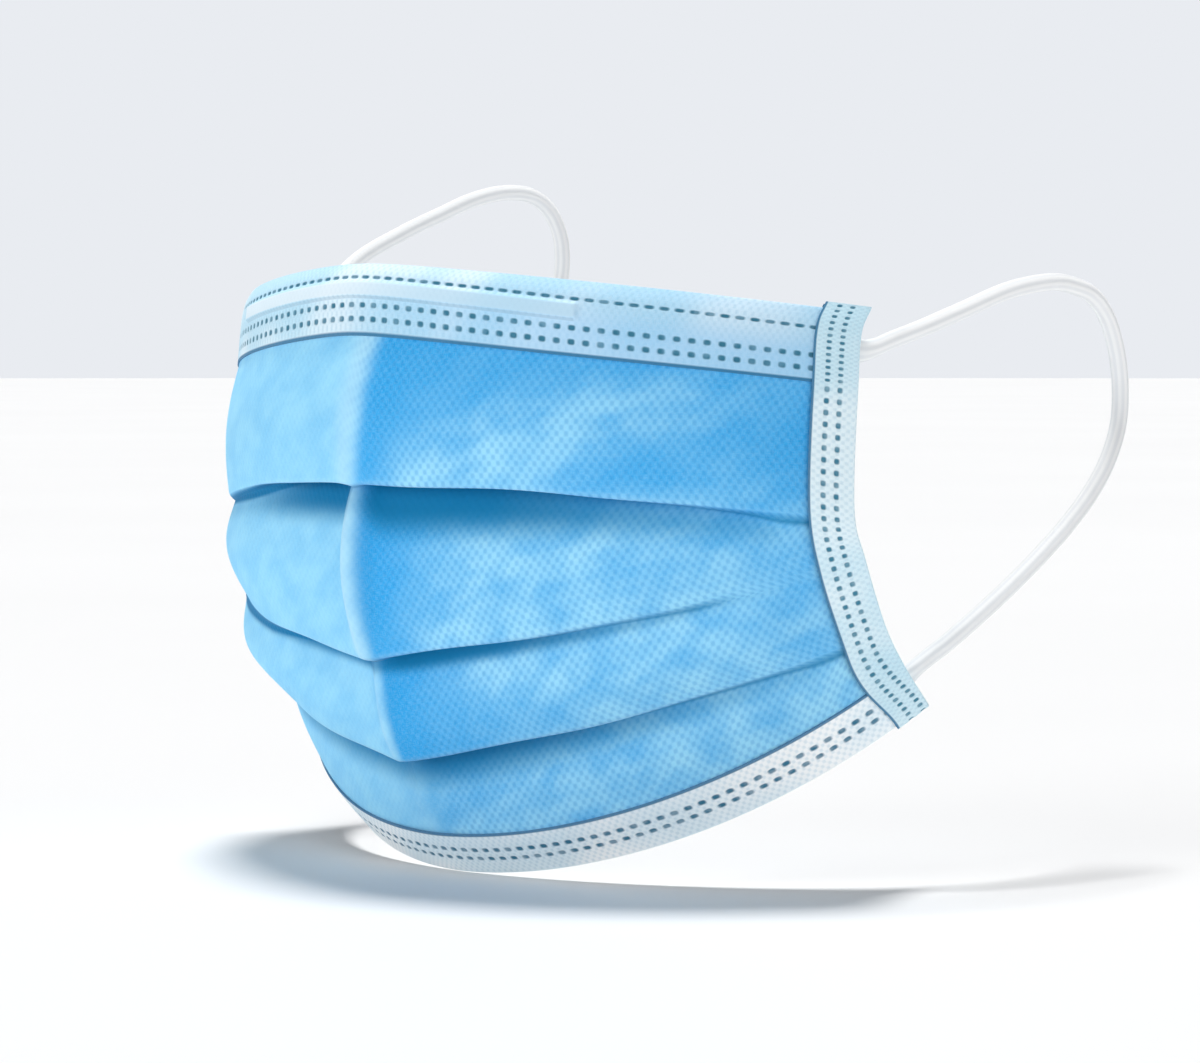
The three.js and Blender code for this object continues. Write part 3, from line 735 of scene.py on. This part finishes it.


def add_panel():
    """The pleated panel: lines down the smooth top, over the three pleats and down to the bottom."""
    even = np.linspace(-1, 1, PANEL_COLUMNS)
    s = PANEL_END * ((1 - RIDGE_CROWDING) * even + RIDGE_CROWDING * even**3)
    cloth = Cloth(s)
    lines = list(cloth.smooth_lines(np.linspace(PANEL_FROM, LEVEL["hem"], EDGE_STEPS)))
    plain = np.zeros(len(s))
    # Painted light for each line: shade in the pleats' mouths, highlights along the lips and the ridge's
    # crest, and shade that thins the painted sheen.
    painted_light = {name: [plain] * len(lines) for name in ("painted_mouth_shade", "lip", "crest", "deep")}
    resets = []
    upper, level = cloth.row("hem"), LEVEL["hem"]
    openness, crack, down, pleat = plain, plain, plain + 1, PLEATS["lip1"]
    to_right = smoothstep(-s, 0, RIGHT_BLEND)
    crack_reach = CRACK_REACH * (1 + CRACK_WIDENING * to_right)
    for lower, span in SPANS.items():
        new = cloth.span(upper, level, lower)
        lines += new
        depth = cloth.pleat_depth(lower) if lower in PLEATS else plain
        narrow = CREST_SHARE * min(span["width"], CREST_WIDEST)
        for line, tau in zip(new, np.linspace(0, 1, len(new))):
            reach = span["tail"] + (span["reach"] - span["tail"]) * (1 - tau) ** LEE_CURVE
            leaning = s - span["lean"] * (1 - tau)
            # Painted shade beside the ridge, on the side turned from the key light.
            lee = smoothstep(leaning, 0, LEE_START * narrow)
            lee = lee * (1 - smoothstep(leaning, LEE_FADE * reach, reach))
            below_root = np.linalg.norm(line - upper, axis=-1)
            above_lip = np.linalg.norm(line - cloth.row(lower), axis=-1)
            # Painted shade in the pleat's mouth under the lip above, and along its closed line.
            below = below_root / (down * (MOUTH_LEAST + (1 - MOUTH_LEAST) * openness))
            shade = pleat["shade"] * openness * (1 - smoothstep(below, pleat["deep"], pleat["gone"]))
            crack_shade = crack * np.exp(-((below_root / crack_reach) ** 2))
            painted_light["painted_mouth_shade"].append(np.maximum(shade, crack_shade))
            # Painted highlight along the lip, where its rounded fold catches the light.
            painted_light["lip"].append(np.exp(-above_lip / LIP_REACH) * np.minimum(1, depth / LIP_DEPTH))
            # Painted highlight along the crest of the pinched fold down the ridge.
            painted_light["crest"].append(span["crest"] * np.exp(-((leaning / narrow + CREST_SHIFT) ** 2)))
            # Painted shade beside the ridge and in the deep patches, which both thin the painted sheen.
            painted_light["deep"].append(1 - (1 - span["lee"] * lee) * (1 - deep_tone(line, s)))
        if lower in PLEATS:
            pleat = PLEATS[lower]
            lip, upper, level = lines[-1], cloth.root(lower), LEVEL[lower] + ROOT_LEVEL
            openness = (depth / pleat["open"]) ** np.where(s < 0, RIGHT_OPENNESS, 1.0)
            down = 1 - (1 - pleat["right"]) * smoothstep(-s, *RIGHT_TURN)
            crack = CRACK_SHADE * (1 - smoothstep(s, pleat["ends"] - CRACK_END, pleat["ends"]))
            crack = crack * (1 + to_right)
            for w in np.linspace(0, 1, FOLD_STEPS + 1)[1:]:
                lines.append(lip + (upper - lip) * w)
                # Inside the fold: painted shade that deepens towards its root, and a painted highlight that
                # fades from the lip.
                painted_light["painted_mouth_shade"].append(np.maximum(pleat["shade"] * openness, crack) * w**0.5)
                painted_light["lip"].append(np.minimum(1, depth / LIP_DEPTH) * math.exp(-3 * w))
                for name in ("crest", "deep"):
                    painted_light[name].append(painted_light[name][-1])
            resets.append(len(lines) - 1)
    lines += list(cloth.smooth_lines(np.linspace(LEVEL["bottom_hem"], PANEL_TO, EDGE_STEPS))[1:])
    for values in painted_light.values():
        values += [plain] * (len(lines) - len(values))
    middle = np.stack(lines)
    for _ in range(ROUNDING_PASSES):
        middle[1:-1] = (middle[:-2] + 2 * middle[1:-1] + middle[2:]) / 4
    middle = middle + normals(middle) * waves(s, len(middle))[:, :, None]
    normal = normals(middle)
    u = lengths_run(middle, 1)
    u = u - u[:, [len(s) // 2]]
    run = lengths_run(middle, 0)
    v_top, v_bottom = np.empty_like(run[1:]), np.empty_like(run[1:])
    first = 0
    for last in [*resets, len(run) - 1]:
        v_top[first:last] = run[last] - run[first:last]
        v_bottom[first:last] = run[last] - run[first + 1:last + 1]
        first = last
    front, back = middle + normal * PANEL_SKIN, middle - normal * PANEL_SKIN
    piece = add_wall("panel_cloth", front, back, u, v_top, v_bottom, [blue_cloth(), inner_cloth()])
    for name, values in painted_light.items():
        attribute = piece.data.attributes.new(name, "FLOAT", "POINT")
        attribute.data.foreach_set("value", np.tile(np.stack(values).ravel(), 2).astype(np.float32))
    return piece


def half_round(base, normal, beyond, front, back, reach):
    """Lines round a folded edge: a half ellipse from front to back mm off the cloth, and reach mm wide."""
    centre, radius = (front + back) / 2, (front - back) / 2
    return [base + normal * (centre + radius * math.cos(a)) + beyond * (reach * math.sin(a))
            for a in np.linspace(0, np.pi, ROUND_LINES)]


def wire_rise(x, s):
    """The step of the top band over the nose wire."""
    across = smoothstep(x, WIRE_FROM - WIRE_STEP, WIRE_FROM)
    across = across * (1 - smoothstep(x, WIRE_TO, WIRE_TO + WIRE_STEP))
    return WIRE_LIFT * across * (1 - smoothstep(np.abs(s), WIRE_HALF, WIRE_HALF + WIRE_STEP))


def no_rise(x, s):
    return np.zeros(x.shape)


def add_band(name, levels, widths, welds, rise, edge_first, material, hump=0.0):
    """A band over the cloth between two levels, folded round the panel's edge. levels run from the fold
    to the hem, and widths are the mm across the band at them. rise lifts it off the panel. The welds
    stand hump mm nearer the fold at the ridge."""
    s = np.linspace(-BAND_END, BAND_END, BAND_COLUMNS)
    middle = Cloth(s).smooth_lines(levels)
    normal = normals(middle if edge_first else middle[::-1])
    normal = normal if edge_first else normal[::-1]
    near_ridge = np.maximum(0, 1 - np.abs(s) / HUMP_REACH)
    inside = 1 - smoothstep(widths, HEM_FROM * widths.max(), widths.max())
    x = widths[:, None] + hump * inside[:, None] * near_ridge
    count = np.broadcast_to(s / WELD_PITCH + 0.5, x.shape)
    lift = rise(x, s)
    press = WELD_DEPTH * weld_depth(welds, x, count, WELD_PITCH)
    outer = middle + normal * (BAND_OUTER + lift - press)[:, :, None]
    inner = middle + normal * (BAND_INNER + lift - press)[:, :, None]
    beyond = unit(middle[0] - middle[1])
    leg = np.stack([middle[0] - beyond * reach for reach in BAND_LEG])
    back_inner = BAND_BACK + (BAND_OUTER - BAND_INNER)
    outer_fold = half_round(middle[0], normal[0], beyond, BAND_OUTER, BAND_BACK, FOLD_REACH)
    inner_fold = half_round(middle[0], normal[0], beyond, BAND_INNER, back_inner, 0)
    outer = np.concatenate([leg + normal[0] * BAND_BACK, outer_fold[:0:-1], outer])
    inner = np.concatenate([leg + normal[0] * back_inner, inner_fold[:0:-1], inner])
    extra = len(outer) - len(middle)
    x = np.concatenate([np.full((extra, len(s)), widths[0]), x])
    count = np.broadcast_to(count[0], x.shape)
    if not edge_first:
        outer, inner, x = outer[::-1], inner[::-1], x[::-1]
    return add_wall(name, outer, inner, x, count[:-1], count[1:], [material])


def top_levels(widths):
    """Levels of lines that lie some mm below the top edge."""
    return np.where(widths < NOSE_STRIP_WIDTH, widths / NOSE_STRIP_WIDTH,
                    1 + (widths - NOSE_STRIP_WIDTH) / (TOP_BAND_WIDTH - NOSE_STRIP_WIDTH))


def add_top_band():
    widths = np.linspace(TOP_FOLD, TOP_BAND_WIDTH, 46)
    material = band_cloth("top_band_cloth", TOP_WELDS, WELD_PITCH, "#35738c", [(TOP_BAND_WIDTH, 0.5)],
                          ("#b0daee", "#d8ecf6"), (WIRE_FROM, WIRE_TO, WIRE_HALF))
    return add_band("top_band_cloth", top_levels(widths), widths, TOP_WELDS, wire_rise, True, material,
                    TOP_HUMP)


def add_bottom_band():
    widths = np.arange(BOTTOM_BAND_WIDTH, -0.01, -0.3)
    levels = LEVEL["bottom_hem"] + widths / BOTTOM_BAND_WIDTH
    material = band_cloth("bottom_band_cloth", BOTTOM_WELDS, WELD_PITCH, "#35708c", [(widths[-1], 0.5)],
                          ("#e0f0f8", "#fafdfe"))
    return add_band("bottom_band_cloth", levels, widths, BOTTOM_WELDS, no_rise, False, material)


# Pitch in mm of a tape's welds near its top, in its middle and near its bottom, and the number of them
# near its two ends.
DENSE_PITCH, SPARSE_PITCH, LOW_PITCH = 1.05, 1.9, 1.45
DENSE_TOP, DENSE_BOTTOM = 13, 8


def tape_count(distance, length):
    """Number of welds passed on the way down a tape: close together near both of its ends."""
    first, last = DENSE_TOP * DENSE_PITCH, length - DENSE_BOTTOM * LOW_PITCH
    passed = DENSE_TOP + (last - first) / SPARSE_PITCH
    return np.interp(distance, [0, first, last, length], [0, DENSE_TOP, passed, passed + DENSE_BOTTOM])


def add_tape(name, side, material):
    """A tape folded round a side edge: from its front edge over the fold to its back edge, carried down
    the smooth curve of the cloth. The grid's rows run down, its columns run round the fold."""
    levels = np.linspace(*TAPE_LEVELS, TAPE_LINES)
    width = TAPE_WIDTH - TAPE_TAPER * smoothstep(levels, *TAPER_LEVELS)
    across = np.linspace(0, 1, TAPE_COLUMNS) * (width - TAPE_ROUND)[:, None]
    base = np.linspace(HALF_WIDTH - TAPE_WIDTH, HALF_WIDTH - TAPE_ROUND, 60)
    lines = Cloth(side * np.append(base, HALF_WIDTH - FOLD_REACH)).smooth_lines(levels)
    line_normals = normals(lines) * side
    edge, edge_normal = lines[:, -1], line_normals[:, -1]
    place = (HALF_WIDTH - width[:, None] + across - base[0]) / (base[1] - base[0])
    column = np.minimum(place.astype(int), len(base) - 2)
    row, share = np.arange(len(levels))[:, None], (place - column)[:, :, None]
    middle, normal = (grid[row, column] * (1 - share) + grid[row, column + 1] * share
                      for grid in (lines, line_normals))
    run = lengths_run(middle[:, 0], 0)
    count = tape_count(run, run[-1])
    press = (WELD_DEPTH * weld_depth(TAPE_WELDS, across, count[:, None], SPARSE_PITCH))[:, :, None]
    beyond = unit(edge - middle[:, -2])

    def skin(front, back, reach):
        fold = half_round(edge, edge_normal, beyond, front, back, reach)
        front_leg = middle + normal * front - normal * press
        back_leg = (middle + normal * back + normal * press)[:, ::-1]
        return np.concatenate([front_leg, np.stack(fold, axis=1), back_leg], axis=1)

    thick = TAPE_OUTER - TAPE_INNER
    outer = skin(TAPE_OUTER, TAPE_BACK, FOLD_REACH)
    inner = skin(TAPE_INNER, TAPE_BACK + thick, INNER_REACH)
    round_x = np.repeat(across[:, -1:] + TAPE_ROUND / 2, ROUND_LINES, axis=1)
    u = np.concatenate([across, round_x, across[:, ::-1]], axis=1)
    v = np.broadcast_to(count[:, None], u.shape)
    if side < 0:
        outer, inner, u, v = (grid[:, ::-1] for grid in (outer, inner, u, v))
    return add_wall(name, outer, inner, u, v[:-1], v[1:], [material])


def add_wire():
    """The nose wire: a flat bar with rounded long edges, between the panel and the top band."""
    s = np.linspace(-WIRE_HALF, WIRE_HALF, 121)
    q = np.linspace(0, 1, 9)
    x = WIRE_FROM + (WIRE_TO - WIRE_FROM) * q
    middle = Cloth(s).smooth_lines(top_levels(x))
    normal = normals(middle)
    crown = (1 - np.abs(2 * q - 1) ** 6)[:, None, None]
    back = middle + normal * WIRE_BACK
    front = back + normal * (WIRE_EDGE + WIRE_CROWN * crown)
    u = np.broadcast_to(s, middle.shape[:2])
    v = np.broadcast_to(x[:, None], middle.shape[:2])
    return add_wall("nose_wire_bar", front, back, u, v[:-1], v[1:], [wire_material()])


# The loops' centre lines in metres, from the upper weld round the ear to the lower weld.
LEFT_EAR_ROUTE = [
    (0.0653, 0.0381, -0.0139), (0.0669, 0.0407, -0.0142), (0.0687, 0.0439, -0.0143),
    (0.0710, 0.0482, -0.0130), (0.0736, 0.0540, -0.0108), (0.0754, 0.0625, -0.0078),
    (0.0763, 0.0735, -0.0044), (0.0760, 0.0847, -0.0029), (0.0748, 0.0929, -0.0033),
    (0.0730, 0.1008, -0.0049), (0.0710, 0.1078, -0.0088), (0.0694, 0.1126, -0.0144),
    (0.0685, 0.1150, -0.0208), (0.0689, 0.1139, -0.0275), (0.0704, 0.1088, -0.0338),
    (0.0722, 0.1015, -0.0393), (0.0734, 0.0930, -0.0448), (0.0736, 0.0845, -0.0502),
    (0.0730, 0.0765, -0.0554), (0.0714, 0.0690, -0.0606), (0.0690, 0.0642, -0.0646),
    (0.0661, 0.0601, -0.0675), (0.0640, 0.0569, -0.0702), (0.0625, 0.0547, -0.0721),
]
RIGHT_EAR_ROUTE = [
    (-0.0653, 0.0381, -0.0139), (-0.0669, 0.0407, -0.0140), (-0.0688, 0.0438, -0.0130),
    (-0.0710, 0.0480, -0.0096), (-0.0728, 0.0545, -0.0042), (-0.0737, 0.0644, 0.0029),
    (-0.0730, 0.0754, 0.0081), (-0.0716, 0.0839, 0.0117), (-0.0699, 0.0911, 0.0147),
    (-0.0679, 0.0976, 0.0162), (-0.0660, 0.1033, 0.0157), (-0.0645, 0.1072, 0.0124),
    (-0.0636, 0.1092, 0.0065), (-0.0637, 0.1090, -0.0010), (-0.0646, 0.1060, -0.0095),
    (-0.0662, 0.1010, -0.0185), (-0.0680, 0.0948, -0.0270), (-0.0698, 0.0875, -0.0356),
    (-0.0710, 0.0800, -0.0442), (-0.0708, 0.0726, -0.0528), (-0.0689, 0.0658, -0.0608),
    (-0.0662, 0.0606, -0.0670), (-0.0640, 0.0569, -0.0702), (-0.0625, 0.0547, -0.0721),
]
CORD_DIAMETER = 3.0
CORD_RIBS = 8
CORD_STITCH = 0.8  # mm
RIB_DEPTH, STITCH_DEPTH = 0.02, 0.004  # shares of the cord's radius
STITCH_TWIST = 4  # radians that the stitches turn by on the way round
CORD_RINGS, CORD_SIDES = 860, 32
WELD_LENGTH = 7.0  # mm of flattened cord at each end
WELD_SINK = 2.25  # mm that the flattened end leans towards the tape
WELD_THICK, WELD_WIDE = 0.32, 1.45  # its section, as shares of the round one


def curve_through(points, count):
    """Evenly spaced points of a uniform Catmull-Rom curve through a list of points."""
    p = np.concatenate([[2 * points[0] - points[1]], points, [2 * points[-1] - points[-2]]])
    t = np.linspace(0, len(points) - 1, 4000)
    i = np.minimum(t.astype(int), len(points) - 2)
    w = (t - i)[:, None]
    p0, p1, p2, p3 = p[i], p[i + 1], p[i + 2], p[i + 3]
    curve = (2 * p1 + (p2 - p0) * w + (2 * p0 - 5 * p1 + 4 * p2 - p3) * w**2
             + (3 * p1 - p0 - 3 * p2 + p3) * w**3) / 2
    run = lengths_run(curve, 0)
    even = np.linspace(0, run[-1], count)
    return np.stack([np.interp(even, run, curve[:, axis]) for axis in range(3)], axis=1), even


def add_loop(name, route, side, material):
    """A knitted cord: a ribbed tube along its route, pressed flat where it is welded. One axis of its
    section always points out of the cheek, as far as the route allows."""
    centre, run = curve_through(np.array(route) / MM, CORD_RINGS)
    tangent = unit(np.gradient(centre, axis=0))
    ear = np.array([side, 0.0, 0.0])
    across = unit(ear - tangent * (tangent @ ear)[:, None])
    upward = np.cross(tangent, across)
    to_end = np.minimum(run, run[-1] - run)
    flat = 1 - smoothstep(to_end, WELD_LENGTH * 0.45, WELD_LENGTH * 1.5)
    lean = 1 - smoothstep(to_end, WELD_LENGTH * 0.6, WELD_LENGTH * 2.0)
    centre = centre + across * (WELD_SINK * lean)[:, None]
    angle = np.linspace(0, 2 * np.pi, CORD_SIDES, endpoint=False)
    ribs = 1 - RIB_DEPTH * (1 - np.abs(np.cos(angle * CORD_RIBS / 2)))
    phase = 2 * np.pi * run[:, None] / CORD_STITCH + STITCH_TWIST * angle
    radius = CORD_DIAMETER / 2 * ribs * (1 + STITCH_DEPTH * np.cos(phase))
    thick = 1 + (WELD_THICK - 1) * flat
    wide = 1 + (WELD_WIDE - 1) * flat
    ring = (across[:, None, :] * (radius * np.cos(angle) * thick[:, None])[:, :, None]
            + upward[:, None, :] * (radius * np.sin(angle) * wide[:, None])[:, :, None])
    points = (centre[:, None, :] + ring).reshape(-1, 3)
    i, j = np.meshgrid(np.arange(CORD_RINGS - 1), np.arange(CORD_SIDES), indexing="ij")
    i, j = i.ravel(), j.ravel()
    rings = np.stack([i, i, i + 1, i + 1], axis=1)
    sides = np.stack([j, j + 1, j + 1, j], axis=1)
    faces = rings * CORD_SIDES + sides % CORD_SIDES
    uvs = np.stack([run[rings], sides / CORD_SIDES], axis=-1)
    around = np.arange(0, CORD_SIDES, 2)
    fan = np.stack([around, around + 1, (around + 2) % CORD_SIDES], axis=1)
    tips = len(points) + np.repeat([[0], [1]], len(fan), axis=1)[:, :, None]
    first_cap = np.concatenate([fan, tips[0]], axis=1)[:, ::-1]
    last_cap = np.concatenate([fan + (CORD_RINGS - 1) * CORD_SIDES, tips[1]], axis=1)
    points = np.concatenate([points, centre[[0, -1]]])
    faces = np.concatenate([faces, first_cap, last_cap])
    uvs = np.concatenate([uvs, np.zeros((2 * len(fan), 4, 2))])
    return add_mesh(name, points, faces, uvs.reshape(-1, 2), np.zeros(len(faces)), [material])


def add_floor():
    """A round pale floor just below the mask."""
    height = cad_box[0].z - FLOOR_GAP
    angle = np.linspace(0, 2 * np.pi, 96, endpoint=False)
    x, y = FLOOR_RADIUS * np.cos(angle), FLOOR_RADIUS * np.sin(angle)
    rim = np.stack([x, y, np.full_like(x, height)], axis=1)
    mesh = bpy.data.meshes.new("floor")
    mesh.from_pydata(rim, [], [list(range(len(rim)))])
    graph = Graph("pale_floor")
    colour = graph.mix(graph.noise(graph.object_coordinates(), 3.0), "#e6e6e6", "#ebebeb")
    mesh.materials.append(graph.finish(colour, 0.6))
    floor = bpy.data.objects.new("floor", mesh)
    bpy.context.collection.objects.link(floor)


def add_world():
    """A pale studio: a sky that is bright round the horizon and dims evenly overhead and below."""
    graph = Graph("studio", "worlds", "Background")
    up = graph.node("SeparateXYZ", Vector=graph.node("TexCoord").outputs["Generated"]).outputs[2]
    strength = graph.ramp(graph.math("ABSOLUTE", up), HORIZON_TO, OVERHEAD_FROM, 1.0, OVERHEAD_STRENGTH,
                          "LINEAR")
    graph.put(graph.shader.inputs["Strength"], strength)
    graph.put(graph.shader.inputs["Color"], "#e9ecf1")
    bpy.context.scene.world = graph.block


# ------------------------ the scene

add_camera()

elastic = elastic_material()
for node, route, side in (("ear_loop_left", LEFT_EAR_ROUTE, 1), ("ear_loop_right", RIGHT_EAR_ROUTE, -1)):
    loop = add_loop(node + "_cord", route, side, elastic)
    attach(loop, "root")
    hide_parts(node)

tape_material = band_cloth("side_tape_cloth", TAPE_WELDS, SPARSE_PITCH, "#3c7b94",
                           [(0.0, 0.45)], ("#bfe2f0", "#dff1f8"))
panel = add_panel()
trim = {
    "top_band": add_top_band(),
    "bottom_band": add_bottom_band(),
    "side_tape_left": add_tape("side_tape_left_cloth", 1, tape_material),
    "side_tape_right": add_tape("side_tape_right_cloth", -1, tape_material),
    "nose_wire": add_wire(),
}
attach(panel, "root")
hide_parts("mask_panel")
for node, piece in trim.items():
    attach(piece, "root")
    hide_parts(node)

add_floor()
add_world()
for name, values in SUNS.items():
    add_sun(name, *values)
bpy.context.scene.view_settings.view_transform = "Standard"
